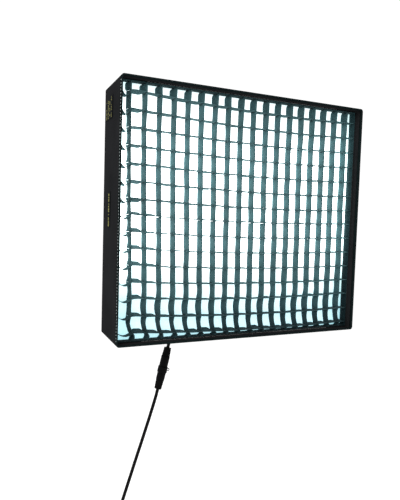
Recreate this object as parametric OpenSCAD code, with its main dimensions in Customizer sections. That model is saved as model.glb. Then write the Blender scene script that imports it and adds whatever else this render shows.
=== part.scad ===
// Flat LED softbox with a cloth egg-crate grid, on a tilting receiver for a 16 mm spigot.
// X runs across the front, the light faces -Y and Z is up. The origin is on the axis of
// the spigot socket, at the middle of its depth.

/* [Box] */
// Width of the box across its front
box_w = 720; // [640:10:800]
// Height of the box
box_h = 650; // [590:10:730]
// Depth from the front rim to the back panel
box_d = 162; // [150:2:200]
// Thickness of the cloth walls with their padding
wall = 3; // [2.5:0.5:5]
// Rounding of the four corners seen from the front
corner_r = 8; // [6:1:14]

/* [Grid] */
// Number of upright grid strips
upright_count = 18; // [12:1:22]
// Number of level grid strips
rail_count = 15; // [10:1:18]
// Spacing of the upright strips
upright_pitch = 38; // [30:0.5:38]
// Spacing of the level strips
rail_pitch = 42; // [34:0.5:42]
// How far the level strips sit below even spacing, which leaves a narrow bottom row
rail_drop = 12; // [0:1:12]
// Depth of the strips from front to back
strip_depth = 24; // [20:1:30]
// Thickness of a grid strip
strip_t = 1.2; // [0.8:0.1:2]

/* [Light] */
// Width of the flexible LED mat
mat_w = 600; // [540:10:620]
// Height of the flexible LED mat
mat_h = 540; // [480:10:560]
// Number of LED chips along a row
chip_columns = 16; // [8:1:20]
// Number of rows of LED chips
chip_rows = 14; // [8:1:18]

/* [Mount] */
// Radius of the socket that takes a 16 mm spigot
socket_r = 8.1; // [8.05:0.05:8.2]
// Depth of the socket
socket_depth = 40; // [35:1:45]
// Height of the tilt axis above the middle of the socket
tilt_z = 45; // [42:1:60]
// Distance from the tilt axis forward to the back panel
back_gap = 78; // [74:1:90]
// Radius of the tilt bolt
bolt_r = 5; // [4:0.5:6]

/* [Cable] */
// Diameter of the round cable
cable_d = 10; // [8:0.5:11]

/* [Hidden] */
$fn = 48;

running = 0.05;
touch_gap = 0.3;

back_y = -back_gap;
rim_y = back_y - box_d;

// The front rim: a folded cloth sleeve round a thin rod.
rim_w = 4.5;
rim_depth = 10;
rim_skin = 0.7;
rod_r = 1.1;
rod_inset = rim_w / 2;
rod_y = rim_y + 4.5;
rod_bend = corner_r - rod_inset;
ferrule_r = 1.5;
ferrule_len = 40;

// Grid, diffuser and tapes, counted back from the front rim.
grid_recess = 27;
grid_y = rim_y + grid_recess;
grid_back_y = grid_y + strip_depth;
border_t = 1.2;
tape_t = 1;
grid_clear = 0.4;
grid_w = box_w - 2 * (rim_w + grid_clear + tape_t);
grid_h = box_h - 2 * (rim_w + grid_clear + tape_t);
notch_w = strip_t + 0.4;
tape_inset = 70;
tape_w = 20;
hook_t = rim_w - wall - 0.2;
diffuser_y = grid_back_y + 2;
diffuser_t = 1.6;
hem_w = 14;
hem_t = 3;
cloth_gap = 0.2;
label_t = 0.7;

// LED mat, with the cross of arms behind it.
mat_t = 4;
arm_y = back_y - 14;
mat_y = arm_y - 12;
mat_r = 12;
chip = 5;
chip_t = 1.4;
chip_margin = 25;
edge_w = 4;
eyelet_inset = 14;
arm_r = 4;
pocket_x = box_w / 2 - 22;
pocket_z = box_h / 2 - 19;
arm_angle = atan2(pocket_z, pocket_x);
arm_len = norm([pocket_x, pocket_z]);
arm_start = 30;
tip_len = 12;
tip_r = 7;
strap_at = norm([mat_w, mat_h]) / 2 - 42;

// Hub on the back, and the tongue that tilts in the receiver's fork.
hub_r = 50;
hub_front_y = mat_y + mat_t + 1;
hub_back_y = back_y - 7;
opening_r = 58;
neck_r = 24;
flange_r = 28;
flange_y = -66;
flange_t = 8;
button_r = 6;
button_up = 36;
tongue_w = 18;
tongue_r = 13;
ear_t = 6;
ear_in = tongue_w / 2 + 2.3;
ear_out = ear_in + ear_t;
ear_r = 14;
disc_t = 2;
washer_t = 1.5;
receiver_r = 15;
receiver_top = 24;
lever_in = ear_out + washer_t + touch_gap;
lever_t = 13;
lever_len = 48;
knob_z = -2;
screw_r = 4;
screw_len = 40;
pad_y = socket_r + 0.2;
pad_len = 4;
bar_y = 50;
bar_half = 22;

// Cable entry in the back panel.
gland_x = -80;
gland_z = 30;
gland_r = 8;
gland_flange_r = 13;
boot_back_y = -50;

cable_r = cable_d / 2;
cable_sides = 10;
spans = 2;

// Route of the short cable that hangs from the gland to the coupling.
pigtail_route = [
    [gland_x, boot_back_y, gland_z], [-80, -38, 30], [-80, -24, 27], [-81, -12, 18],
    [-82, -4, 6], [-83, 0, -12], [-85, 0, -34], [-87, 0, -62], [-90, 0, -92],
    [-94, 0, -124], [-99, 0, -158], [-104, 0, -192], [-110, 0, -226], [-117, 0, -260],
    [-124, 0, -294], [-131, 0, -326], [-138, 0, -356]
];
// Route of the extension cable below the coupling.
lead_route = [
    [-167, 0, -480], [-172, 0, -501], [-178, 0, -522], [-185, 0, -545], [-192, 0, -568],
    [-200, 0, -593], [-208, 0, -618], [-216, 0, -643], [-224, 0, -667], [-232, 0, -692],
    [-240, 0, -717], [-248, 0, -742], [-256, 0, -767], [-264, 0, -792], [-270, 0, -811],
    [-276, 0, -830]
];
link_top = pigtail_route[len(pigtail_route) - 1];
link_bottom = lead_route[0];
link_len = norm(link_bottom - link_top);
// Where each piece of the coupling ends, as distances down its axis.
link_boot = 26;
link_plug = 58;
link_collar = 78;
link_socket = 100;
shell_r = 13;
collar_r = 14.8;
spigot_r = 8;
cuff_r = 12.6;
relief_r = 7;
link_relief_r = 11;
end_boot_len = 18;
end_plug_len = 28;

cloth = [0.10, 0.10, 0.11];
black_metal = [0.08, 0.08, 0.09];
rubber_black = [0.06, 0.06, 0.06];
grid_cloth = [0.12, 0.17, 0.18];
glow = [0.93, 1.0, 1.0];

// ---- helpers -------------------------------------------------------------

// A rectangle with round corners, centred.
module rounded(w, h, r) {
    square([w - 2 * r, h], center = true);
    square([w, h - 2 * r], center = true);
    for (sx = [-1, 1], sz = [-1, 1])
        translate([sx * (w / 2 - r), sz * (h / 2 - r)]) circle(r);
}

// A frame of even width, its outside w by h with corners r.
module frame_outline(w, h, r, width) {
    difference() {
        rounded(w, h, r);
        rounded(w - 2 * width, h - 2 * width, max(r - width, 0.5));
    }
}

// Extrudes a front-view outline from front to back, centred on the tilt axis.
module slab(front, back) {
    translate([0, back, tilt_z]) rotate([90, 0, 0]) linear_extrude(back - front) children();
}

// Cylinder along Y between two depths, at a place in the front view.
module rod_along_y(x, z, front, back, r, r_back = -1) {
    translate([x, back, z]) rotate([90, 0, 0])
        cylinder(h = back - front, r1 = r_back < 0 ? r : r_back, r2 = r);
}

// Cylinder along X between two places, on the tilt axis.
module rod_along_x(low, high, r) {
    translate([low, 0, tilt_z]) rotate([0, 90, 0]) cylinder(h = high - low, r = r);
}

// The four quarters of the front view that meet at the box's corners.
module quarter(side_angle) {
    reach = max(box_w, box_h);
    across = (side_angle % 180 == 0) ? box_h / 2 : box_w / 2;
    out = (side_angle % 180 == 0) ? box_w / 2 : box_h / 2;
    rotate(side_angle)
        polygon([[out + 1, -across - 1], [out + 1, across + 1],
                 [out - 60, across - 60], [out - 60, -across + 60]]);
}

module side_panel(side_angle) {
    color(cloth) slab(rim_y + rim_depth, back_y)
        intersection() {
            frame_outline(box_w, box_h, corner_r, wall);
            quarter(side_angle);
        }
}

// ---- cloth box -------------------------------------------------------------

module back_panel() {
    color(cloth) difference() {
        slab(back_y - wall, back_y)
            rounded(box_w - 2 * wall - cloth_gap, box_h - 2 * wall - cloth_gap, corner_r - wall);
        rod_along_y(0, tilt_z, back_y - wall - 1, back_y + 1, opening_r);
        rod_along_y(gland_x, gland_z, back_y - wall - 1, back_y + 1, gland_r);
    }
}

module opening_binding() {
    color(cloth) translate([0, back_y, tilt_z]) rotate([-90, 0, 0])
        rotate_extrude($fn = 72) translate([opening_r, 0]) square([7, 1.6]);
}

// Stitched patches over the pockets at the back corners.
module corner_patches() {
    leg = 74;
    color(cloth)
        for (sx = [-1, 1], sz = [-1, 1])
            slab(back_y, back_y + 1.4)
                translate([sx * (box_w / 2 - 8), sz * (box_h / 2 - 8)])
                    polygon([[0, 0], [-sx * leg, 0], [-sx * leg * 0.8, -sz * leg * 0.3],
                             [-sx * leg * 0.3, -sz * leg * 0.8], [0, -sz * leg]]);
}

// Two plain woven labels sewn on the left wall.
module side_labels() {
    color("goldenrod") {
        translate([-box_w / 2 - label_t, -158, 282]) cube([label_t, 66, 56]);
        translate([-box_w / 2 - label_t, -150, 8]) cube([label_t, 18, 92]);
    }
}

// The rim's sleeve, open at the back along its inner edge.
module rim_binding() {
    color(cloth) difference() {
        slab(rim_y, rim_y + rim_depth) frame_outline(box_w, box_h, corner_r, rim_w);
        slab(rim_y + 1.5, rim_y + rim_depth - 2)
            frame_outline(box_w - 2 * rim_skin, box_h - 2 * rim_skin, corner_r - rim_skin,
                          rim_w - 2 * rim_skin);
        slab(rim_y + rim_depth - 2.5, rim_y + rim_depth + 1)
            frame_outline(box_w - 2 * wall, box_h - 2 * wall, corner_r - wall,
                          rim_w - rim_skin - wall);
    }
}

// Half of the thin rod that keeps the rim square, side is -1 for the left half.
module hoop_half(side) {
    x_out = box_w / 2 - rod_inset;
    z_out = box_h / 2 - rod_inset;
    x_mid = x_out - rod_bend;
    z_mid = z_out - rod_bend;
    join = cloth_gap / 2;
    color("dimgray") {
        translate([side * x_out, rod_y, tilt_z - z_mid]) cylinder(h = 2 * z_mid, r = rod_r);
        for (end = [-1, 1]) {
            translate([side * join, rod_y, tilt_z + end * z_out])
                rotate([0, side * 90, 0]) cylinder(h = x_mid - join, r = rod_r);
            translate([side * x_mid, rod_y, tilt_z + end * z_mid])
                rotate([90, 0, 0]) rotate([0, 0, end > 0 ? (side > 0 ? 0 : 90) : (side > 0 ? 270 : 180)])
                    rotate_extrude(angle = 90) translate([rod_bend, 0]) circle(rod_r);
        }
    }
}

module hoop_ferrules() {
    color("goldenrod")
        for (end = [-1, 1])
            translate([-ferrule_len / 2, rod_y, tilt_z + end * (box_h / 2 - rod_inset)])
                rotate([0, 90, 0]) difference() {
                    cylinder(h = ferrule_len, r = ferrule_r);
                    translate([0, 0, -1]) cylinder(h = ferrule_len + 2, r = rod_r);
                }
}

// A strip of tape along each of the four sides, its outer face on a w by h rectangle.
module tape_set(w, h, t, front, back) {
    for (sx = [-1, 1])
        slab(front, back) translate([sx * (w - t) / 2, 0])
            square([t, h - 2 * tape_inset], center = true);
    for (sz = [-1, 1])
        slab(front, back) translate([0, sz * (h - t) / 2])
            square([w - 2 * tape_inset, t], center = true);
}

module hook_tape() {
    color("black")
        tape_set(box_w - 2 * wall, box_h - 2 * wall, hook_t, grid_y + 2, grid_y + 2 + tape_w);
}

module diffuser() {
    color(glow) slab(diffuser_y, diffuser_y + diffuser_t)
        rounded(box_w - 2 * wall - 1, box_h - 2 * wall - 1, corner_r - wall);
}

module diffuser_hem() {
    color("white") slab(diffuser_y + diffuser_t, diffuser_y + diffuser_t + hem_t)
        frame_outline(box_w - 2 * wall - cloth_gap, box_h - 2 * wall - cloth_gap,
                      corner_r - wall, hem_w);
}

// ---- egg-crate grid ---------------------------------------------------------

module grid_border() {
    color(grid_cloth) slab(grid_y, grid_back_y) frame_outline(grid_w, grid_h, 2, border_t);
}

module grid_loop_tape() {
    color("dimgray")
        tape_set(grid_w + 2 * tape_t, grid_h + 2 * tape_t, tape_t, grid_y + 2, grid_y + 2 + tape_w);
}

// A comb: a strip of the given length with slots at the pitch, cut to half its depth.
// The strip lies along X with its depth along Y, and the slots open at its upper edge.
// shift moves the row of slots along the strip.
module comb(length, slots, pitch, shift = 0) {
    first = shift - (slots - 1) / 2 * pitch;
    half = strip_depth / 2 - 0.1;
    top = [for (i = [0 : slots - 1]) each [
        [first + i * pitch - notch_w / 2, strip_depth],
        [first + i * pitch - notch_w / 2, half],
        [first + i * pitch + notch_w / 2, half],
        [first + i * pitch + notch_w / 2, strip_depth]
    ]];
    polygon(concat([[length / 2, 0], [-length / 2, 0], [-length / 2, strip_depth]], top,
                   [[length / 2, strip_depth]]));
}

module grid_uprights() {
    length = grid_h - 2 * border_t - cloth_gap;
    color(grid_cloth)
        for (i = [0 : upright_count - 1])
            translate([(i - (upright_count - 1) / 2) * upright_pitch - strip_t / 2, grid_y, tilt_z])
                rotate([90, 0, 90]) linear_extrude(strip_t)
                    rotate(90) mirror([0, 1]) comb(length, rail_count, rail_pitch, -rail_drop);
}

module grid_rails() {
    length = grid_w - 2 * border_t - cloth_gap;
    lowest = tilt_z - rail_drop - (rail_count - 1) / 2 * rail_pitch - strip_t / 2;
    color(grid_cloth)
        for (i = [0 : rail_count - 1])
            translate([0, grid_back_y, lowest + i * rail_pitch])
                linear_extrude(strip_t) mirror([0, 1]) comb(length, upright_count, upright_pitch);
}

// ---- LED mat and its arms ----------------------------------------------------

// Repeats its child at the four corners of a rectangle in the front view.
module at_corners(x, z) {
    for (sx = [-1, 1], sz = [-1, 1]) translate([sx * x, 0, tilt_z + sz * z]) children();
}

// Places its child along an arm: local +Z runs outward along the arm.
module on_arm(sx, sz, distance) {
    translate([sx * distance * cos(arm_angle), arm_y, tilt_z + sz * distance * sin(arm_angle)])
        rotate([0, sx * (90 - sz * arm_angle), 0]) children();
}

module led_mat() {
    color("gainsboro") difference() {
        slab(mat_y, mat_y + mat_t) rounded(mat_w, mat_h, mat_r);
        at_corners(mat_w / 2 - eyelet_inset, mat_h / 2 - eyelet_inset)
            rod_along_y(0, 0, mat_y - 1, mat_y + mat_t + 1, 4);
    }
}

module led_chips() {
    step_x = (mat_w - 2 * chip_margin - 2 * edge_w) / (chip_columns - 1);
    step_z = (mat_h - 2 * chip_margin - 2 * edge_w) / (chip_rows - 1);
    color("khaki")
        for (i = [0 : chip_columns - 1], j = [0 : chip_rows - 1])
            translate([(i - (chip_columns - 1) / 2) * step_x - chip / 2, mat_y - chip_t,
                       tilt_z + (j - (chip_rows - 1) / 2) * step_z - chip / 2])
                cube([chip, chip_t, chip]);
}

module mat_binding() {
    color("black") slab(mat_y - 1, mat_y + mat_t + 1)
        frame_outline(mat_w + 2 * edge_w, mat_h + 2 * edge_w, mat_r + edge_w, edge_w);
}

module mat_eyelets() {
    color("silver")
        at_corners(mat_w / 2 - eyelet_inset, mat_h / 2 - eyelet_inset)
            translate([0, mat_y + mat_t, 0]) rotate([90, 0, 0]) rotate_extrude()
                polygon([[2.5, -0.8], [7, -0.8], [7, 0], [4, 0], [4, mat_t], [7, mat_t],
                         [7, mat_t + 0.8], [2.5, mat_t + 0.8]]);
}

// Cloth loops on the back of the mat that the arms pass through.
module mat_straps() {
    strap_len = 26;
    loop_y = arm_y - mat_y - mat_t;
    color("black")
        for (sx = [-1, 1], sz = [-1, 1])
            on_arm(sx, sz, strap_at) difference() {
                union() {
                    cylinder(h = strap_len, r = arm_r + 1.6);
                    translate([-12, -loop_y, 0]) cube([24, 1.6, strap_len]);
                    translate([-3, -loop_y, 0]) cube([6, loop_y - arm_r, strap_len]);
                }
                translate([0, 0, -1]) cylinder(h = strap_len + 2, r = arm_r);
            }
}

module mat_junction() {
    color("dimgray") translate([gland_x - 40, mat_y + mat_t, gland_z - 14]) cube([56, 10, 28]);
}

module arm(sx, sz) {
    color("silver") on_arm(sx, sz, arm_start) cylinder(h = arm_len - arm_start, r = arm_r);
}

module arm_tips() {
    color(rubber_black)
        for (sx = [-1, 1], sz = [-1, 1])
            on_arm(sx, sz, arm_len - tip_len) difference() {
                union() {
                    cylinder(h = tip_len, r = tip_r - 1);
                    translate([0, 0, tip_len]) cylinder(h = 2, r1 = tip_r - 1, r2 = tip_r - 3);
                }
                translate([0, 0, -1]) cylinder(h = tip_len + 1, r = arm_r);
            }
}

// Padded cups in the back corners of the box, which the arm tips press into.
module corner_pockets() {
    cup = 7;
    color(cloth)
        for (sx = [-1, 1], sz = [-1, 1])
            on_arm(sx, sz, arm_len - 10) difference() {
                cylinder(h = 12 + cup, r = 9.5);
                translate([0, 0, -1]) cylinder(h = 14, r = tip_r + 0.1);
            }
}

// ---- hub and tilt joint --------------------------------------------------------

module hub_plate() {
    color(black_metal) difference() {
        union() {
            rod_along_y(0, tilt_z, hub_front_y, hub_back_y, hub_r);
            rod_along_y(0, tilt_z, hub_back_y, flange_y, neck_r);
            for (sx = [-1, 1], sz = [-1, 1])
                on_arm(sx, sz, arm_start) cylinder(h = 50, r = 6.6);
        }
        for (sx = [-1, 1], sz = [-1, 1])
            on_arm(sx, sz, arm_start) cylinder(h = 51, r = arm_r);
        rod_along_y(0, tilt_z + button_up, hub_front_y + 1, hub_back_y + 1, button_r + running);
        hub_screw_places() cylinder(h = 16, r = 2);
    }
}

// The four screws through the flange into the hub's neck.
module hub_screw_places() {
    for (turn = [45 : 90 : 315])
        translate([0, flange_y + flange_t, tilt_z]) rotate([0, turn, 0]) translate([18, 0, 0])
            rotate([90, 0, 0]) children();
}

module hub_screws() {
    color("silver")
        hub_screw_places() {
            cylinder(h = 16, r = 2);
            translate([0, 0, -3]) cylinder(h = 3, r = 3.5);
        }
}

module hub_button() {
    color("firebrick")
        rod_along_y(0, tilt_z + button_up, hub_front_y + 5, hub_back_y + 5, button_r);
}

module tilt_tongue() {
    color(black_metal) difference() {
        union() {
            difference() {
                rod_along_y(0, tilt_z, flange_y, flange_y + flange_t, flange_r);
                hub_screw_places() translate([0, 0, -1]) cylinder(h = flange_t + 2, r = 2);
            }
            rod_along_x(-tongue_w / 2, tongue_w / 2, tongue_r);
            translate([-tongue_w / 2, flange_y + flange_t, tilt_z - tongue_r + 2])
                cube([tongue_w, -flange_y - flange_t, 2 * tongue_r - 4]);
        }
        rod_along_x(-tongue_w, tongue_w, bolt_r + running);
    }
}

module friction_discs() {
    color("dimgray") difference() {
        for (side = [-1, 1])
            rod_along_x(side > 0 ? ear_in - disc_t : -ear_in, side > 0 ? ear_in : disc_t - ear_in, 12);
        rod_along_x(-tongue_w, tongue_w, bolt_r + running);
    }
}

module stand_receiver() {
    socket_low = -socket_depth / 2;
    color(black_metal) difference() {
        union() {
            translate([0, 0, socket_low]) cylinder(h = receiver_top - socket_low, r = receiver_r);
            rod_along_y(0, knob_z, 5, 28, 9);
            for (side = [-1, 1]) {
                rod_along_x(side > 0 ? ear_in : -ear_out, side > 0 ? ear_out : -ear_in, ear_r);
                translate([side > 0 ? ear_in : -ear_out, -ear_r, 12])
                    cube([ear_t, 2 * ear_r, tilt_z - 12]);
            }
        }
        translate([0, 0, socket_low - 1]) cylinder(h = socket_depth + 1, r = socket_r);
        rod_along_y(0, knob_z, 4, 30, screw_r + running);
        rod_along_x(-30, 30, bolt_r + running);
    }
}

module pivot_bolt() {
    color("silver") {
        rod_along_x(-ear_out - washer_t, lever_in + lever_t + 4, bolt_r);
        translate([-ear_out - washer_t - 6, 0, tilt_z]) rotate([0, 90, 0])
            cylinder(h = 6, r = 9, $fn = 6);
    }
}

module pivot_washers() {
    color("silver") difference() {
        for (side = [-1, 1])
            rod_along_x(side > 0 ? ear_out : -ear_out - washer_t,
                        side > 0 ? ear_out + washer_t : -ear_out, 10);
        rod_along_x(-40, 40, bolt_r + running);
    }
}

module tilt_lever() {
    color(rubber_black) difference() {
        union() {
            rod_along_x(lever_in, lever_in + lever_t, 11);
            translate([lever_in + 3, -5, tilt_z - lever_len]) cube([lever_t - 4, 10, lever_len - 4]);
            translate([lever_in + 3, 0, tilt_z - lever_len]) rotate([0, 90, 0])
                cylinder(h = lever_t - 4, r = 5);
        }
        rod_along_x(lever_in - 1, lever_in + lever_t + 1, bolt_r + running);
    }
}

module lever_cap() {
    cap_in = lever_in + lever_t + touch_gap;
    color("silver") difference() {
        rod_along_x(cap_in, cap_in + 5, 8);
        rod_along_x(cap_in - 1, lever_in + lever_t + 4, bolt_r);
    }
}

module clamp_pad() {
    color("goldenrod") rod_along_y(0, knob_z, pad_y, pad_y + pad_len, screw_r - 0.1);
}

// The clamp screw with its cross bar.
module clamp_screw() {
    color("silver") {
        rod_along_y(0, knob_z, pad_y + pad_len, pad_y + pad_len + screw_len, screw_r);
        rod_along_y(0, knob_z, bar_y - 8, bar_y + 6, 8);
        translate([-bar_half, bar_y, knob_z]) rotate([0, 90, 0]) cylinder(h = 2 * bar_half, r = 3);
    }
}

module knob_grips() {
    color(rubber_black)
        for (side = [-1, 1])
            translate([side > 0 ? 9 : -bar_half - 3, bar_y, knob_z]) rotate([0, 90, 0])
                difference() {
                    cylinder(h = bar_half - 6, r = 5);
                    translate([0, 0, side > 0 ? -1 : 3]) cylinder(h = bar_half - 8, r = 3);
                }
}

// ---- cable ----------------------------------------------------------------------

module cable_gland() {
    color(rubber_black) difference() {
        union() {
            rod_along_y(gland_x, gland_z, back_y - 8, back_y, gland_r);
            rod_along_y(gland_x, gland_z, back_y, back_y + 6, gland_flange_r);
        }
        rod_along_y(gland_x, gland_z, back_y - 9, back_y + 7, cable_r + running);
    }
}

module gland_boot() {
    color(rubber_black) difference() {
        rod_along_y(gland_x, gland_z, back_y + 6, boot_back_y, 8.5, relief_r);
        rod_along_y(gland_x, gland_z, back_y + 5, boot_back_y + 1, cable_r + running);
    }
}

module inner_lead() {
    color("black") rod_along_y(gland_x, gland_z, mat_y + mat_t + 10, boot_back_y - touch_gap, cable_r);
}

// Smooth points through a route, with a few steps in each span.
function spline(p0, p1, p2, p3, t) =
    0.5 * (2 * p1 + (p2 - p0) * t + (2 * p0 - 5 * p1 + 4 * p2 - p3) * t * t
           + (3 * p1 - p0 - 3 * p2 + p3) * t * t * t);
function smooth(route) = let (last = len(route) - 1) concat(
    [for (i = [0 : last - 1], k = [0 : spans - 1])
        spline(route[max(i - 1, 0)], route[i], route[i + 1], route[min(i + 2, last)], k / spans)],
    [route[last]]);
function unit(v) = v / norm(v);
function heading(path, i) = unit(path[min(i + 1, len(path) - 1)] - path[max(i - 1, 0)]);
function ring(centre, along, r) =
    let (u = unit(cross(along, [1, 0, 0])), v = cross(along, u))
    [for (k = [0 : cable_sides - 1])
        centre + r * (cos(360 * k / cable_sides) * u + sin(360 * k / cable_sides) * v)];

module cable(route) {
    path = smooth(route);
    rings = len(path);
    n = cable_sides;
    points = [for (i = [0 : rings - 1]) each ring(path[i], heading(path, i), cable_r)];
    walls = [for (i = [0 : rings - 2], k = [0 : n - 1])
        [i * n + k, i * n + (k + 1) % n, (i + 1) * n + (k + 1) % n, (i + 1) * n + k]];
    first = [for (k = [n - 1 : -1 : 0]) k];
    last = [for (k = [0 : n - 1]) (rings - 1) * n + k];
    polyhedron(points, concat([first], walls, [last]));
}

module pigtail() {
    color("black") cable(pigtail_route);
}

module lead() {
    color("black") cable(lead_route);
}

// Places its child on the coupling's axis: local +Z runs down the cable.
module on_link(distance) {
    way = unit(link_bottom - link_top);
    translate(link_top + distance * way) rotate([0, atan2(way[0], way[2]), 0]) children();
}

module pigtail_boot() {
    color(rubber_black) on_link(0) cylinder(h = link_boot, r1 = link_relief_r, r2 = cuff_r);
}

module plug_shell() {
    color(rubber_black) on_link(link_boot) {
        cylinder(h = link_plug - link_boot, r = shell_r);
        translate([0, 0, link_plug - link_boot]) cylinder(h = link_collar - link_plug - 2, r = spigot_r);
    }
}

// The ring that locks the two halves together; it turns on the plug's nose.
module coupling_collar() {
    color("dimgray") on_link(link_plug + touch_gap) difference() {
        union() {
            cylinder(h = link_collar - link_plug - 2 * touch_gap, r = collar_r);
            translate([-collar_r - 4, -3, 2]) cube([6, 6, 12]);
        }
        translate([0, 0, -1]) cylinder(h = link_collar - link_plug + 2, r = spigot_r + running);
    }
}

module socket_shell() {
    color(rubber_black) on_link(link_collar) cylinder(h = link_socket - link_collar, r = shell_r);
}

module lead_boot() {
    color(rubber_black) on_link(link_socket)
        cylinder(h = link_len - link_socket, r1 = cuff_r, r2 = link_relief_r);
}

// Places its child past the end of the lead, along its last stretch.
module on_lead_end(distance) {
    last = len(lead_route) - 1;
    way = unit(lead_route[last] - lead_route[last - 1]);
    translate(lead_route[last] + distance * way) rotate([0, atan2(way[0], way[2]), 0]) children();
}

module end_boot() {
    color(rubber_black) on_lead_end(0) cylinder(h = end_boot_len, r1 = relief_r, r2 = cuff_r);
}

module end_plug() {
    color("dimgray") on_lead_end(end_boot_len) {
        cylinder(h = end_plug_len - 8, r = shell_r);
        translate([0, 0, end_plug_len - 8]) cylinder(h = 8, r = spigot_r);
    }
}

side_panel(180);  // side_panel_left
side_panel(0);  // side_panel_right
side_panel(90);  // side_panel_top
side_panel(270);  // side_panel_bottom
back_panel();
opening_binding();
corner_patches();
side_labels();
rim_binding();
hoop_half(-1);  // front_hoop_left
hoop_half(1);  // front_hoop_right
hoop_ferrules();
hook_tape();
diffuser();
diffuser_hem();
grid_border();
grid_uprights();
grid_rails();
grid_loop_tape();
led_mat();
led_chips();
mat_binding();
mat_eyelets();
mat_straps();
mat_junction();
arm(-1, 1);  // arm_upper_left
arm(1, 1);  // arm_upper_right
arm(-1, -1);  // arm_lower_left
arm(1, -1);  // arm_lower_right
arm_tips();
corner_pockets();
hub_plate();
hub_button();
hub_screws();
tilt_tongue();
cable_gland();
gland_boot();
inner_lead();
stand_receiver();
friction_discs();
pivot_bolt();
pivot_washers();
tilt_lever();
lever_cap();
clamp_pad();
clamp_screw();
knob_grips();
pigtail();
pigtail_boot();
plug_shell();
coupling_collar();
socket_shell();
lead_boot();
lead();
end_boot();
end_plug();
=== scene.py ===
"""The looks of a flat LED softbox: cloth box, egg-crate grid, glowing diffuser, hub and cable."""

import math
import random

import bpy
from mathutils import Matrix, Vector, noise


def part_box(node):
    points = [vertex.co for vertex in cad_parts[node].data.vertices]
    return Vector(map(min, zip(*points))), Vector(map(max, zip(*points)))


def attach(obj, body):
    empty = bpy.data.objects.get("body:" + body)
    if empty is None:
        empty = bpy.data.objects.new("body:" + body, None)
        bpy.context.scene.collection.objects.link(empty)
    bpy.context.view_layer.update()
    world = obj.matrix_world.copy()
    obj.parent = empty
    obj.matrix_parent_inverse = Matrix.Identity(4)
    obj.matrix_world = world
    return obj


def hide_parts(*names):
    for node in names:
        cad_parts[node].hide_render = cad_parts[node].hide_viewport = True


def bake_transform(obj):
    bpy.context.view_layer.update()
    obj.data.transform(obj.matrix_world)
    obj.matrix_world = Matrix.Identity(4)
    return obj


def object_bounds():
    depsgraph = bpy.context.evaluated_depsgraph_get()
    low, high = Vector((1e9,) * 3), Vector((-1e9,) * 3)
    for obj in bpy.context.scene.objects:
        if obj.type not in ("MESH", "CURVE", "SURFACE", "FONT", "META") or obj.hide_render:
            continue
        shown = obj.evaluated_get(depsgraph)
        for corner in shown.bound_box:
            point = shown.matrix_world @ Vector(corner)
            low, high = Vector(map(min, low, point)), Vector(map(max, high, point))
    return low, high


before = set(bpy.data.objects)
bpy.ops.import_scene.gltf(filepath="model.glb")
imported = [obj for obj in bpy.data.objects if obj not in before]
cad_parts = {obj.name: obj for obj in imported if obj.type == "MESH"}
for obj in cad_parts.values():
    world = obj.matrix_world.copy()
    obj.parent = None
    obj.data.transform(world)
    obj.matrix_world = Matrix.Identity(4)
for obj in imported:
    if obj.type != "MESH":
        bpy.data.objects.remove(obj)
cad_low, cad_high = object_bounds()

MM = 0.001


# ---- camera -----------------------------------------------------------------

CAMERA_PLACE = Vector((-0.6536, -1.3776, 0.0345))
CAMERA_YAW = math.radians(23.98)
CAMERA_PITCH = math.radians(-3.55)
CAMERA_ROLL = math.radians(1.73)


def make_camera():
    data = bpy.data.cameras.new("camera")
    data.sensor_width = 36
    data.lens = 35.27
    data.clip_start = 0.05
    data.clip_end = 60
    camera = bpy.data.objects.new("camera", data)
    bpy.context.collection.objects.link(camera)
    turn = (
        Matrix.Rotation(-CAMERA_YAW, 4, "Z")
        @ Matrix.Rotation(math.pi / 2 + CAMERA_PITCH, 4, "X")
        @ Matrix.Rotation(CAMERA_ROLL, 4, "Z")
    )
    camera.matrix_world = Matrix.Translation(CAMERA_PLACE) @ turn
    bpy.context.scene.camera = camera


make_camera()


# ---- materials --------------------------------------------------------------


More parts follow.
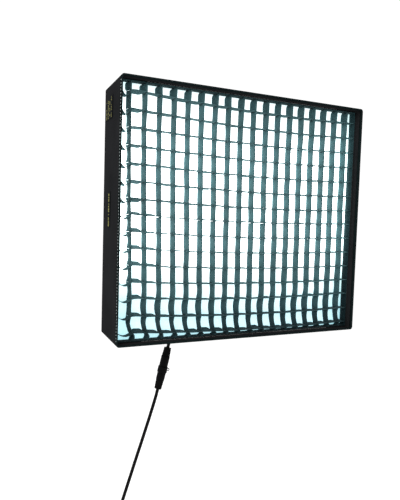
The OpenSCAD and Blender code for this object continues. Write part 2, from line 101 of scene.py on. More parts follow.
class Nodes:
    """A material with a Principled shader, and short calls that add nodes to it."""

    def __init__(self, name, color, roughness, metallic=0.0):
        self.material = bpy.data.materials.new(name)
        self.material.use_nodes = True
        self.tree = self.material.node_tree
        self.shader = self.tree.nodes["Principled BSDF"]
        self.shader.inputs["Base Color"].default_value = (*color, 1)
        self.shader.inputs["Roughness"].default_value = roughness
        self.shader.inputs["Metallic"].default_value = metallic
        self.color = color
        coordinates = self.tree.nodes.new("ShaderNodeTexCoord")
        self.coords = coordinates.outputs["Object"]
        self.normals = coordinates.outputs["Normal"]

    def add(self, kind, **settings):
        node = self.tree.nodes.new("ShaderNode" + kind)
        for key, value in settings.items():
            setattr(node, key, value)
        return node

    def link(self, output, node, socket):
        self.tree.links.new(output, node.inputs[socket])

    def math(self, operation, a, b=0.0):
        node = self.add("Math", operation=operation)
        for socket, value in enumerate((a, b)):
            if isinstance(value, (int, float)):
                node.inputs[socket].default_value = value
            else:
                self.link(value, node, socket)
        return node.outputs["Value"]

    def noise(self, scale, detail=3.0, roughness=0.55):
        node = self.add("TexNoise")
        node.inputs["Scale"].default_value = scale
        node.inputs["Detail"].default_value = detail
        node.inputs["Roughness"].default_value = roughness
        self.link(self.coords, node, "Vector")
        return node.outputs["Fac"]

    def bands(self, pitch, direction, distortion=0.0):
        """Even threads across one axis, pitch metres apart."""
        node = self.add("TexWave", wave_type="BANDS", bands_direction=direction)
        node.inputs["Scale"].default_value = 2 * math.pi / 20 / pitch
        node.inputs["Distortion"].default_value = distortion
        node.inputs["Detail"].default_value = 1.0
        self.link(self.coords, node, "Vector")
        return node.outputs["Fac"]

    def weave(self, pitch):
        """Threads both ways on a face, with none across the axis that it looks along."""
        looks = self.add("SeparateXYZ")
        self.link(self.normals, looks, "Vector")
        total = 0.0
        for direction in ("X", "Y", "Z"):
            facing = looks.outputs[direction]
            aside = self.math("SUBTRACT", 1.0, self.math("MULTIPLY", facing, facing))
            threads = self.math("MULTIPLY", self.bands(pitch, direction, 0.6), aside)
            total = self.math("ADD", threads, total)
        return self.math("MULTIPLY", total, 0.5)

    def ramp(self, fac, stops):
        node = self.add("ValToRGB")
        ramp = node.color_ramp
        while len(ramp.elements) < len(stops):
            ramp.elements.new(0.5)
        for element, (place, color) in zip(ramp.elements, stops):
            element.position = place
            element.color = (*color, 1)
        self.link(fac, node, "Fac")
        return node.outputs["Color"]

    def along(self, axis, start, end):
        """0 to 1 between two places on an axis of the object, in metres."""
        axes = self.add("SeparateXYZ")
        self.link(self.coords, axes, "Vector")
        node = self.add("MapRange")
        node.inputs["From Min"].default_value = start
        node.inputs["From Max"].default_value = end
        self.link(axes.outputs[axis], node, "Value")
        return node.outputs["Result"]

    def multiply(self, a, b):
        """Two colours multiplied."""
        node = self.add("MixRGB", blend_type="MULTIPLY")
        node.inputs["Fac"].default_value = 1.0
        self.link(a, node, "Color1")
        self.link(b, node, "Color2")
        return node.outputs["Color"]

    def shade(self, fac, dark, light, painted_shade_tint=None):
        """Base colour from dark to light times the material's own, and times a painted shade tint if it is
        given.
        """
        low = tuple(c * dark for c in self.color)
        high = tuple(min(1.0, c * light) for c in self.color)
        color = self.ramp(fac, [(0.3, low), (0.7, high)])
        if painted_shade_tint is not None:
            color = self.multiply(color, painted_shade_tint)
        self.link(color, self.shader, "Base Color")

    def rough(self, fac, low, high):
        node = self.add("MapRange")
        self.link(fac, node, "Value")
        node.inputs["To Min"].default_value = low
        node.inputs["To Max"].default_value = high
        self.link(node.outputs["Result"], self.shader, "Roughness")

    def bump(self, height, distance, strength=1.0):
        node = self.add("Bump")
        node.inputs["Distance"].default_value = distance
        node.inputs["Strength"].default_value = strength
        self.link(height, node, "Height")
        self.link(node.outputs["Normal"], self.shader, "Normal")


def cloth_material(name, color, pitch, sheen=0.03, depth=0.3 * MM, shine=0.15, painted_shade_heights=None):
    """Woven cloth with threads pitch apart. The optional pair of heights is a low and a high place, and
    the cloth fades from its own colour at the high one to a dark tone at the low one, a painted shade."""
    m = Nodes(name, color, 0.9)
    m.shader.inputs["Specular IOR Level"].default_value = shine
    m.shader.inputs["Sheen Weight"].default_value = sheen
    m.shader.inputs["Sheen Roughness"].default_value = 0.5
    threads = m.weave(pitch)
    blotches = m.noise(9.0, 4.0)
    # Painted shade: an optional tint, dark at the low height and clear at the high one, stands in for
    # light falling off towards the bottom.
    painted_shade_tint = None
    if painted_shade_heights:
        painted_shade_tint = m.ramp(m.along("Z", *painted_shade_heights), [(0.0, (0.38, 0.38, 0.4)), (1.0, (1, 1, 1))])
    pattern = m.math("ADD", m.math("MULTIPLY", threads, 0.45), m.math("MULTIPLY", blotches, 0.6))
    m.shade(pattern, 0.7, 1.35, painted_shade_tint)
    grain = m.noise(0.25 / pitch, 2.0)
    m.bump(m.math("ADD", grain, m.math("MULTIPLY", blotches, 0.5)), depth, 0.6)
    return m.material


def plastic_material(name, color, roughness, grain=900.0, depth=0.04 * MM, shine=0.25):
    m = Nodes(name, color, roughness)
    m.shader.inputs["Specular IOR Level"].default_value = shine
    specks = m.noise(grain, 2.0)
    wear = m.noise(60.0, 4.0)
    m.shade(wear, 0.8, 1.3)
    m.rough(wear, roughness - 0.08, roughness + 0.12)
    m.bump(specks, depth, 0.5)
    return m.material


def metal_material(name, color, roughness, brushed=None):
    m = Nodes(name, color, roughness, metallic=1.0)
    stains = m.noise(45.0, 5.0)
    m.shade(stains, 0.85, 1.1)
    m.rough(stains, roughness - 0.08, roughness + 0.15)
    marks = m.bands(0.6 * MM, brushed, 3.0) if brushed else m.noise(700.0, 3.0)
    m.bump(marks, 0.02 * MM, 0.4)
    return m.material


GLOW = 5.0


def glow_material():
    """The diffuser: lit from behind, brightest in the middle and falling off to a pale cyan."""
    low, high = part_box("diffuser")
    m = Nodes("diffuser_cloth", (0.8, 0.86, 0.86), 0.9)
    cloud = m.math("MULTIPLY", m.math("SUBTRACT", m.noise(7.0, 3.0), 0.5), 0.05)
    up = m.math("ADD", m.along("Z", low.z, high.z), cloud)
    across = m.math("ADD", m.along("X", low.x, high.x), cloud)
    rise = m.ramp(up, [
        (0.0, (0.085, 0.155, 0.172)), (0.08, (0.092, 0.16, 0.178)), (0.15, (0.12, 0.182, 0.196)),
        (0.23, (0.2, 0.245, 0.25)), (0.4, (0.9, 0.95, 0.95)), (0.8, (0.9, 0.95, 0.95)),
        (0.92, (0.3, 0.33, 0.33)), (1.0, (0.15, 0.185, 0.19)),
    ])
    sides = m.ramp(across, [
        (0.0, (0.8, 0.95, 0.95)), (0.1, (1, 1, 1)), (0.88, (1, 1, 1)), (1.0, (0.6, 0.75, 0.75)),
    ])
    m.link(m.multiply(rise, sides), m.shader, "Emission Color")
    m.shader.inputs["Emission Strength"].default_value = GLOW
    m.bump(m.weave(0.9 * MM), 0.1 * MM, 0.3)
    return m.material


def stage_material(name, color):
    m = Nodes(name, color, 0.9)
    m.shader.inputs["Specular IOR Level"].default_value = 0.0
    return m.material


BLACK_CLOTH = cloth_material("black_oxford_cloth", (0.0145, 0.015, 0.016), 1.1 * MM, sheen=0.0, shine=0.0)
RIM_CLOTH = cloth_material("black_rim_binding", (0.0065, 0.0105, 0.0108), 0.8 * MM, sheen=0.0, shine=0.0)
# Painted shade: the strips darken below the upper height, where the diffuser's glow falls off on the
# lowest rows.
GRID_CLOTH = cloth_material("grid_nylon", (0.045, 0.1, 0.108), 0.7 * MM, depth=0.15 * MM, shine=0.1,
                            painted_shade_heights=(-245 * MM, -150 * MM))
# Painted shade: the border cloth darkens from the top down to its lowest part.
BORDER_CLOTH = cloth_material("grid_border_nylon", (0.014, 0.036, 0.04), 0.7 * MM, depth=0.15 * MM,
                              shine=0.05, painted_shade_heights=(-200 * MM, 280 * MM))
WEBBING = cloth_material("black_webbing", (0.012, 0.012, 0.012), 1.6 * MM, depth=0.5 * MM)
WHITE_CLOTH = cloth_material("white_webbing", (0.7, 0.72, 0.72), 1.2 * MM)
HOOK_TAPE = cloth_material("hook_and_loop", (0.012, 0.013, 0.014), 0.5 * MM, sheen=0.8, depth=0.5 * MM)
MAT_CLOTH = cloth_material("mat_cloth", (0.75, 0.75, 0.72), 1.0 * MM)
YELLOW_THREAD = cloth_material("yellow_thread", (0.24, 0.23, 0.07), 0.5 * MM)
PALE_THREAD = cloth_material("pale_thread", (0.48, 0.54, 0.54), 0.5 * MM)
BLACK_THREAD = cloth_material("black_thread", (0.03, 0.03, 0.03), 0.5 * MM)
JACKET = plastic_material("cable_jacket", (0.004, 0.004, 0.004), 0.6, 500.0, shine=0.05)
SHELL_PLASTIC = plastic_material("coupling_plastic", (0.0025, 0.0025, 0.0028), 0.5, shine=0.04)
RUBBER = plastic_material("black_rubber", (0.003, 0.003, 0.003), 0.75, 600.0, shine=0.04)
CASTING = plastic_material("black_casting", (0.02, 0.02, 0.022), 0.45, 1200.0, 0.08 * MM)
STEEL = metal_material("bright_steel", (0.62, 0.62, 0.64), 0.3, "Z")
ALUMINIUM = metal_material("aluminium_tube", (0.7, 0.7, 0.72), 0.35, "Y")
BRASS = metal_material("brass", (0.72, 0.52, 0.22), 0.35)
GLASS_FIBRE = plastic_material("glass_fibre", (0.1, 0.1, 0.1), 0.4)
RED_PLASTIC = plastic_material("red_plastic", (0.45, 0.03, 0.025), 0.35)
PHOSPHOR = plastic_material("led_phosphor", (0.85, 0.72, 0.2), 0.3)
DIFFUSER = glow_material()

NODE_MATERIALS = {
    "corner_patches": WEBBING, "opening_binding": WEBBING, "side_labels": BLACK_CLOTH,
    "front_hoop_left": GLASS_FIBRE, "front_hoop_right": GLASS_FIBRE, "hoop_ferrules": BRASS,
    "hook_tape": HOOK_TAPE, "grid_loop_tape": HOOK_TAPE, "diffuser_hem": WHITE_CLOTH,
    "led_mat": MAT_CLOTH, "led_chips": PHOSPHOR, "mat_binding": WEBBING, "mat_eyelets": STEEL,
    "mat_straps": WEBBING, "mat_junction": SHELL_PLASTIC,
    "arm_upper_left": ALUMINIUM, "arm_upper_right": ALUMINIUM,
    "arm_lower_left": ALUMINIUM, "arm_lower_right": ALUMINIUM,
    "arm_tips": RUBBER, "corner_pockets": WEBBING,
    "hub_plate": CASTING, "hub_button": RED_PLASTIC, "hub_screws": STEEL, "tilt_tongue": CASTING,
    "cable_gland": SHELL_PLASTIC, "inner_lead": JACKET,
    "stand_receiver": CASTING, "friction_discs": SHELL_PLASTIC, "pivot_bolt": STEEL,
    "pivot_washers": STEEL, "tilt_lever": SHELL_PLASTIC, "lever_cap": STEEL,
    "clamp_pad": BRASS, "clamp_screw": STEEL, "knob_grips": RUBBER,
}


def paint_nodes():
    for name, material in NODE_MATERIALS.items():
        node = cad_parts[name]
        node.data.materials.clear()
        node.data.materials.append(material)


paint_nodes()


# ---- mesh helpers -----------------------------------------------------------


def piece(name, points, faces, material, body, finish, thickness=0.0, offset=-1.0):
    """A mesh object on a body. A thickness turns an open skin into closed cloth, and offset -1 grows it
    behind its faces, 1 in front of them and 0 both ways."""
    mesh = bpy.data.meshes.new(name)
    mesh.from_pydata([tuple(p) for p in points], [], faces)
    mesh.validate()
    mesh.update()
    mesh.materials.append(material)
    mesh.polygons.foreach_set("use_smooth", [True] * len(mesh.polygons))
    obj = bpy.data.objects.new(name, mesh)
    bpy.context.collection.objects.link(obj)
    if thickness:
        solid = obj.modifiers.new("cloth thickness", "SOLIDIFY")
        solid.thickness = thickness
        solid.offset = offset
    if body:
        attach(obj, body)
    return obj


def quads(columns, rows, skip=()):
    """Faces of a sheet whose points run along a row first."""
    return [
        (r * columns + c, r * columns + c + 1, (r + 1) * columns + c + 1, (r + 1) * columns + c)
        for r in range(rows - 1)
        for c in range(columns - 1)
        if (c, r) not in skip
    ]


def loop_quads(around, rings, closed=False):
    """Faces between rings of points. closed also joins the last ring to the first."""
    return [
        (k * around + i, k * around + (i + 1) % around,
         (k + 1) % rings * around + (i + 1) % around, (k + 1) % rings * around + i)
        for k in range(rings if closed else rings - 1)
        for i in range(around)
    ]


def end_faces(around, rings):
    """Faces that close the first ring and the last."""
    return [tuple(reversed(range(around))), tuple(range((rings - 1) * around, rings * around))]


def spline(points, steps):
    """Smooth points through a route, with a few steps in each span."""
    route = [Vector(p) for p in points]
    last = len(route) - 1
    path = []
    for i in range(last):
        a, b = route[max(i - 1, 0)], route[i]
        c, d = route[i + 1], route[min(i + 2, last)]
        for k in range(steps):
            t = k / steps
            path.append(0.5 * (2 * b + (c - a) * t + (2 * a - 5 * b + 4 * c - d) * t * t
                               + (3 * b - a - 3 * c + d) * t ** 3))
    return path + [route[last]]


def sweep(path, radius, sides):
    """Points and faces of a round bar along a path that never runs along X."""
    points = []
    for i, centre in enumerate(path):
        along = (path[min(i + 1, len(path) - 1)] - path[max(i - 1, 0)]).normalized()
        u = along.cross(Vector((1, 0, 0))).normalized()
        v = along.cross(u)
        for k in range(sides):
            angle = 2 * math.pi * k / sides
            points.append(centre + radius * (math.cos(angle) * u + math.sin(angle) * v))
    return points, loop_quads(sides, len(path)) + end_faces(sides, len(path))


def lathe(profile, start, way, sides=40, ripple=None):
    """Points and faces of a turned shape. profile is (distance, radius) down the axis from start."""
    way = way.normalized()
    u = way.cross(Vector((0, 1, 0))).normalized()
    v = way.cross(u)
    points = []
    for distance, radius in profile:
        for k in range(sides):
            angle = 2 * math.pi * k / sides
            r = radius + (ripple(distance, k) if ripple else 0.0)
            points.append(start + distance * way + r * (math.cos(angle) * u + math.sin(angle) * v))
    return points, loop_quads(sides, len(profile)) + end_faces(sides, len(profile))


def join_parts(parts):
    """One list of points and faces from several."""
    points, faces = [], []
    for some_points, some_faces in parts:
        start = len(points)
        points += some_points
        faces += [tuple(start + i for i in face) for face in some_faces]
    return points, faces


# ---- cables -----------------------------------------------------------------

CABLE_R = 5 * MM
PIGTAIL_ROUTE = [
    (-80, -50, 30), (-80, -38, 30), (-80, -24, 27), (-81, -12, 18),
    (-82, -4, 6), (-83, 0, -12), (-85, 0, -34), (-87, 0, -62), (-90, 0, -92),
    (-94, 0, -124), (-99, 0, -158), (-104, 0, -192), (-110, 0, -226), (-117, 0, -260),
    (-124, 0, -294), (-131, 0, -326), (-138, 0, -356),
]
LEAD_ROUTE = [
    (-167, 0, -480), (-172, 0, -501), (-178, 0, -522), (-185, 0, -545), (-192, 0, -568),
    (-200, 0, -593), (-208, 0, -618), (-216, 0, -643), (-224, 0, -667), (-232, 0, -692),
    (-240, 0, -717), (-248, 0, -742), (-256, 0, -767), (-264, 0, -792), (-270, 0, -811),
    (-276, 0, -830),
]
CABLE_STEPS, CABLE_SIDES = 4, 16
BOOT_RIBS, RIB_DEPTH = 5, 0.9
LINK_TOP = Vector(PIGTAIL_ROUTE[-1]) * MM
LINK_BOTTOM = Vector(LEAD_ROUTE[0]) * MM
LINK_WAY = (LINK_BOTTOM - LINK_TOP).normalized()
LINK_LENGTH = (LINK_BOTTOM - LINK_TOP).length
LEAD_WAY = (Vector(LEAD_ROUTE[-1]) - Vector(LEAD_ROUTE[-2])).normalized()


def cable(name, route, node):
    path = [p * MM for p in spline(route, CABLE_STEPS)]
    points, faces = sweep(path, CABLE_R, CABLE_SIDES)
    obj = piece(name, points, faces, JACKET, None, "cable_jacket")
    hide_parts(node)
    return obj, path


def ribs(start, end, r_start, r_end, count, depth):
    """Profile of a tapered relief with flexing grooves cut round it."""
    profile = [(start, r_start * 0.55), (start + 0.6, r_start * 0.8), (start + 1.2, r_start)]
    step = (end - start) / count
    for k in range(count):
        for share, inner in ((0.15, 0), (0.55, 0), (0.65, 1), (0.9, 1)):
            d = start + (k + share) * step
            r = r_start + (r_end - r_start) * (d - start) / (end - start)
            profile.append((d, r - inner * depth))
    profile.append((end, r_end))
    return profile


def round_end(start, end, radius, corner):
    """Profile of a short cylinder with rounded edges."""
    profile = []
    for k in (4, 3, 2, 1, 0):
        a = math.pi / 2 * k / 4
        profile.append((start + corner * (1 - math.sin(a)), radius - corner * (1 - math.cos(a))))
    mirrored = [(start + end - d, r) for d, r in reversed(profile)]
    return profile + mirrored


def turned(name, profile, start, way, material, body, finish, node, ripple=None, sides=40, extra=()):
    """A turned piece that takes a node's place. profile is in millimetres, and extra holds more parts."""
    parts = [lathe([(d * MM, r * MM) for d, r in profile], start, way, sides, ripple), *extra]
    obj = piece(name, *join_parts(parts), material, body, finish)
    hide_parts(node)
    return obj


def knurl(start, end, depth):
    """Lengthwise grooves between two places down the axis, all in millimetres."""
    def ripple(distance, k):
        inside = start * MM < distance < end * MM
        return -depth * MM if inside and k % 4 < 2 else 0.0
    return ripple


def tether_eye(centre, normal, radius, wire):
    """A small ring beside the coupling."""
    normal = normal.normalized()
    u = normal.cross(Vector((0, 0, 1))).normalized()
    v = normal.cross(u)
    steps, sides = 28, 8
    points = []
    for i in range(steps):
        a = 2 * math.pi * i / steps
        out = math.cos(a) * u + math.sin(a) * v
        for k in range(sides):
            b = 2 * math.pi * k / sides
            points.append(centre + out * (radius + wire * math.cos(b)) + normal * wire * math.sin(b))
    return points, loop_quads(sides, steps, closed=True)


def make_cables():
    """Both cables with their coupling, boots and far plug. Distances down an axis and radii are in
    millimetres."""
    pigtail, pigtail_path = cable("short_cable", PIGTAIL_ROUTE, "pigtail")
    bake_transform(pigtail)
    lead, lead_path = cable("extension_cable", LEAD_ROUTE, "lead")
    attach(lead, "receiver")

    boot = turned("coupling_boot_top", ribs(0, 26, 11, 12.6, BOOT_RIBS, RIB_DEPTH), LINK_TOP, LINK_WAY,
                  RUBBER, "receiver", "black_rubber", "pigtail_boot")
    plug = turned("coupling_plug", round_end(26, 58, 13, 1.8) + [(58, 8), (76, 8)], LINK_TOP, LINK_WAY,
                  SHELL_PLASTIC, "receiver", "black_plastic", "plug_shell", knurl(34, 46, 0.5))
    across = LINK_WAY.cross(Vector((0, 1, 0))).normalized()
    right = across if across.x > 0 else -across
    eye_centre = LINK_TOP + 66 * MM * LINK_WAY + right * 17.8 * MM
    collar = turned("coupling_collar_ring", round_end(58.3, 77.7, 14.8, 1.6), LINK_TOP, LINK_WAY,
                    SHELL_PLASTIC, "collar", "black_plastic", "coupling_collar", knurl(61, 75, 0.8), 48,
                    extra=[tether_eye(eye_centre, Vector((0, 1, 0)), 3.6 * MM, 1.3 * MM)])
    socket = turned("coupling_socket", round_end(78, 100, 13, 1.8), LINK_TOP, LINK_WAY,
                    SHELL_PLASTIC, "receiver", "black_plastic", "socket_shell", knurl(84, 94, 0.5))
    link_end = LINK_LENGTH / MM
    bottom = ribs(100, link_end, 12.6, 11, BOOT_RIBS, RIB_DEPTH) + [(link_end + 1, 6)]
    relief = turned("coupling_boot_bottom", bottom, LINK_TOP, LINK_WAY,
                    RUBBER, "receiver", "black_rubber", "lead_boot")
    end = Vector(LEAD_ROUTE[-1]) * MM
    end_boot = turned("lead_end_boot", ribs(0, 18, 7.5, 12.6, 4, RIB_DEPTH), end, LEAD_WAY,
                      RUBBER, "receiver", "black_rubber", "end_boot")
    end_plug = turned("lead_end_plug", round_end(18, 38, 13, 1.8) + [(38, 8), (46, 8)], end, LEAD_WAY,
                      SHELL_PLASTIC, "receiver", "black_plastic", "end_plug", knurl(22, 34, 0.5))
    gland = Vector((-80, -72, 30)) * MM
    turned("gland_relief", [(-2, 8.5)] + ribs(0, 22, 8.5, 7, 5, 0.8), gland, Vector((0, 1, 0)),
           RUBBER, "head", "black_rubber", "gland_boot")


make_cables()


# ---- egg-crate grid ---------------------------------------------------------

BORDER_LOW, BORDER_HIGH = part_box("grid_border")
CENTRE_Z = (BORDER_LOW.z + BORDER_HIGH.z) / 2
FRONT_Y, STRIP_BACK_Y = BORDER_LOW.y, BORDER_HIGH.y
UPRIGHTS, RAILS = 18, 15
UPRIGHT_PITCH, RAIL_PITCH = 38 * MM, 42 * MM
BORDER_T = 1.2 * MM
RAIL_DROP = 12 * MM
HALF_WIDTH, HALF_HEIGHT = 350 * MM, 320 * MM
HALF_SPAN = 323 * MM
UPRIGHT_PLACES = [(k - (UPRIGHTS - 1) / 2) * UPRIGHT_PITCH for k in range(UPRIGHTS)]
RAIL_PLACES = [CENTRE_Z - RAIL_DROP + (k - (RAILS - 1) / 2) * RAIL_PITCH for k in range(RAILS)]
STRIP_T = 1.0 * MM
CELL_STEPS = 7
DEPTH_SHARES = (0.0, 0.2, 0.38, 0.5, 0.75, 1.0)
FRONT_HALF, DEEP_SLOT = 3, 2


def shares(x, z):
    """A place in the front view as shares of about half the grid's width and height."""
    return x / HALF_WIDTH, (z - CENTRE_Z) / HALF_HEIGHT


def climb(value, start, run):
    """0 to 1 as the value goes from start through a run."""
    return min(1.0, max(0.0, (value - start) / run))


def lean(x, z):
    """How far the hand-hung grid is drawn sideways at a place in the front view."""
    u, v = shares(x, z)
    pulled_low = 6 * climb(-v, 0.85, 0.1)
    return (2.2 - 6 * v + 4 * u * v + 0.5 * v * v + 4 * v ** 3 + pulled_low) * MM


def droop(x, z):
    """How far the grid's crossings lie over their cut places: under them in the middle and low down,
    over them at the left and the top."""
    u, v = shares(x, z)
    sunk_low = 4 * climb(-v, 0.72, 0.15)
    return (-3.0 - 5 * u + 8.5 * u * u + 5.5 * v * v + 1.5 * v - sunk_low) * MM


def fan(x):
    """How far a strip's back edge lies sideways from its front edge, to the left all over."""
    return (-4.2 + 2.6 * x / HALF_SPAN) * MM


def cell_lines(low, high, places, slot_half):
    """Lines across a strip, two at each crossing: (place, cell, share of the cell, slot follows)."""
    edges = [low, *places, high]
    lines = []
    for cell, (a, b) in enumerate(zip(edges, edges[1:])):
        start = a + (slot_half if cell else 0)
        end = b - (slot_half if cell < len(places) else 0)
        for k in range(CELL_STEPS + 1):
            share = k / CELL_STEPS
            slot = k == CELL_STEPS and cell < len(places)
            lines.append((start + (end - start) * share, cell, share, slot))
    return lines


def upright_sway(rng, column, cell):
    """How far the back and front edges of an upright bulge sideways between two level strips."""
    from_top = RAILS - cell
    back, front = rng.uniform(-0.8, 0.8), rng.uniform(-0.5, 0.5)
    if from_top == 0 and column == 0:
        back = -3.5
    elif from_top == 0:
        back = rng.uniform(-4.5, -3.0) - 3.5 * max(0.0, 1 - column / 6)
    elif column == 0 and from_top <= 3:
        back = 3.0 - 1.5 * (3 - from_top)
    elif column == 0 and cell > 3:
        back = rng.uniform(3.0, 4.5)
    elif cell == 0:
        back, front = rng.uniform(3.5, 6.5), rng.uniform(2.0, 4.0)
    elif cell == 1:
        back, front = rng.uniform(-2.5, -0.5), rng.uniform(-4.0, -2.5)
    elif cell == 2 and column == 0:
        back, front = 1.0, -1.0
    elif cell == 2:
        back, front = rng.uniform(-4.0, -2.0), rng.uniform(-2.5, -1.0)
    elif cell == 3:
        back, front = rng.uniform(1.0, 3.5), rng.uniform(-0.5, 1.0)
    return back * MM, front * MM


def strip_sheet(name, node, parts):
    points, faces = join_parts(parts)
    obj = piece(name, points, faces, GRID_CLOTH, "grid", "grid_cloth", STRIP_T, 0.0)
    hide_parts(node)


def make_uprights():
    rng = random.Random(7)
    parts = []
    low, high = BORDER_LOW.z + BORDER_T, BORDER_HIGH.z - BORDER_T
    depth = STRIP_BACK_Y - FRONT_Y
    for i, x in enumerate(UPRIGHT_PLACES):
        crossings = [z + droop(x, z) for z in RAIL_PLACES]
        lines = cell_lines(low, high, crossings, rng.uniform(0.35, 0.55) * MM)
        sways = [upright_sway(rng, i, cell) for cell in range(RAILS + 1)]
        drift = [rng.uniform(-0.9, 0.9) * MM for _ in range(RAILS + 2)]
        gaps = [rng.random() < 0.15 for _ in range(RAILS)]
        points = []
        for z, cell, share, _ in lines:
            bulge = math.sin(math.pi * share)
            if cell == RAILS:
                bulge = min(1.0, 1.6 * bulge)
            stray = drift[cell] + (drift[cell + 1] - drift[cell]) * share
            back, front = sways[cell]
            base = x + stray + lean(x, z) - (1.5 * MM if i == 0 else 0)
            for t in DEPTH_SHARES:
                dx = fan(x) * t + bulge * (front * (1 - t) ** 2 + back * t)
                points.append((base + dx, FRONT_Y + t * depth, z))
        skip = set()
        for row, (_, cell, _, slot) in enumerate(lines):
            if slot:
                first = DEEP_SLOT if gaps[cell] else FRONT_HALF
                skip |= {(c, row) for c in range(first, len(DEPTH_SHARES) - 1)}
        parts.append((points, quads(len(DEPTH_SHARES), len(lines), skip)))
    strip_sheet("grid_upright_strips", "grid_uprights", parts)


def rail_sag(rng, row, cell):
    """How far the back and front edges of a level strip rise or sag between two uprights."""
    side = 1 if row > RAILS / 2 else -1
    back, front = -side * rng.uniform(-0.2, 1.8), rng.uniform(-0.6, 0.6)
    near_left = max(0.0, 1 - cell / 4)
    low_rows = max(0.0, 1 - row / 4)
    if cell == 0:
        front = rng.uniform(-10, -7) - 9 * row / RAILS
        back = front + 5 * (row - RAILS / 2) / (RAILS / 2) - 3.2 * side
    elif cell == 1:
        front = rng.uniform(-0.5, 1.5)
        back = front + (rng.uniform(5.0, 9.0) if row < 8 else rng.uniform(-7.0, -3.0))
    elif cell == 2:
        back = front + (rng.uniform(2.0, 6.0) if row < 8 else rng.uniform(-3.0, 1.0))
    elif near_left or low_rows:
        back += rng.uniform(-2, 3.5) * max(near_left, low_rows)
        front += rng.uniform(-1, 2) * near_left
    if row == 0 and cell:
        back += rng.uniform(1, 3)
    return back * MM, front * MM


def rail_slant(row):
    """How far a level strip's back edge lies under its front edge, most near the middle rows."""
    from_middle = row - RAILS / 2
    side = 1 if from_middle > 0 else -1
    return side * 3.6 * max(0.0, 1 - abs(from_middle) / 4) * MM


def make_rails():
    rng = random.Random(19)
    parts = []
    low, high = BORDER_LOW.x + BORDER_T, BORDER_HIGH.x - BORDER_T
    depth = STRIP_BACK_Y - FRONT_Y
    for j, z in enumerate(RAIL_PLACES):
        crossings = [x + lean(x, z) for x in UPRIGHT_PLACES]
        lines = cell_lines(low, high, crossings, rng.uniform(0.5, 0.8) * MM)
        sags = [rail_sag(rng, j, cell) for cell in range(UPRIGHTS + 1)]
        drift = [rng.uniform(-0.7, 0.7) * MM for _ in range(UPRIGHTS + 2)]
        points = []
        for x, cell, share, _ in lines:
            bulge = math.sin(math.pi * share)
            slant, fanned = 0.0, 0.0
            if cell:
                bulge = min(1.0, 1.5 * bulge)
                slant, fanned = rail_slant(j), fan(x)
            stray = drift[cell] + (drift[cell + 1] - drift[cell]) * share
            back, front = sags[cell]
            for t in DEPTH_SHARES:
                dz = stray + bulge * (front * (1 - t) + back * t) - slant * t
                points.append((x + fanned * t, FRONT_Y + t * depth, z + droop(x, z) + dz))
        skip = set()
        for row, (_, _, _, slot) in enumerate(lines):
            if slot:
                skip |= {(c, row) for c in range(FRONT_HALF)}
        parts.append((points, quads(len(DEPTH_SHARES), len(lines), skip)))
    strip_sheet("grid_level_strips", "grid_rails", parts)


def outline(low, high, radius, arc_steps, side_steps):
    """Points and outward directions round a rectangle with round corners, seen from the front."""
    points = []
    corners = [
        (high.x - radius, high.z - radius, 0), (low.x + radius, high.z - radius, 90),
        (low.x + radius, low.z + radius, 180), (high.x - radius, low.z + radius, 270),
    ]
    for n, (cx, cz, start) in enumerate(corners):
        for k in range(arc_steps + 1):
            a = math.radians(start + 90 * k / arc_steps)
            out = Vector((math.cos(a), 0, math.sin(a)))
            points.append((Vector((cx, 0, cz)) + radius * out, out))
        nx, nz, _ = corners[(n + 1) % 4]
        out = Vector((math.cos(math.radians(start + 90)), 0, math.sin(math.radians(start + 90))))
        a, b = Vector((cx, 0, cz)) + radius * out, Vector((nx, 0, nz)) + radius * out
        points += [(a.lerp(b, k / side_steps), out) for k in range(1, side_steps)]
    return points


def ring_of_cloth(name, low, high, radius, section, material, body, finish, wave, seed):
    """A closed section of cloth round the front. section is (inward, back) from its outer front edge."""
    path = outline(low, high, radius, 6, 60)
    points = []
    for place, out in path:
        offset = wave * noise.noise(Vector((place.x * 9, seed, place.z * 9)))
        for inward, back in section:
            shift = inward - offset * min(1.0, inward / (2 * MM))
            points.append(place - out * shift + Vector((0, low.y + back, 0)))
    faces = loop_quads(len(section), len(path), closed=True)
    return piece(name, points, faces, material, body, finish)


def make_grid_border():
    depth = STRIP_BACK_Y - FRONT_Y
    section = [(0, 0.6 * MM), (0.6 * MM, 0), (BORDER_T - 0.3 * MM, 0), (BORDER_T, 0.6 * MM),
               (BORDER_T, depth / 2), (BORDER_T, depth), (0, depth), (0, depth / 2)]
    obj = ring_of_cloth("grid_border_cloth", BORDER_LOW, BORDER_HIGH, 2 * MM, section,
                        BORDER_CLOTH, "grid", "grid_cloth", 0.6 * MM, 3.0)
    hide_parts("grid_border")


make_grid_border()
make_uprights()
make_rails()


# ---- diffuser ---------------------------------------------------------------


def make_diffuser():
    low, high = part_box("diffuser")
    columns, rows = 73, 67
    points = []
    for r in range(rows):
        for c in range(columns):
            u, v = c / (columns - 1), r / (rows - 1)
            x, z = low.x + (high.x - low.x) * u, low.z + (high.z - low.z) * v
            slack = min(1.0, 8 * u * (1 - u)) * min(1.0, 8 * v * (1 - v))
            ripple = noise.noise(Vector((x * 6, 0.3, z * 6))) * 1.2 * MM
            points.append((x, low.y + slack * (1.6 * MM + ripple), z))
    obj = piece("diffuser_sheet", points, quads(columns, rows), DIFFUSER, "head", "diffusion_cloth",
                0.8 * MM, 1.0)
    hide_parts("diffuser")


make_diffuser()


# ---- cloth box --------------------------------------------------------------

RIM_LOW, RIM_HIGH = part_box("rim_binding")
BACK_LOW, BACK_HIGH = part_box("back_panel")
BACK_Y = BACK_HIGH.y
CORNER_R = 8 * MM
WALL_T = 3 * MM


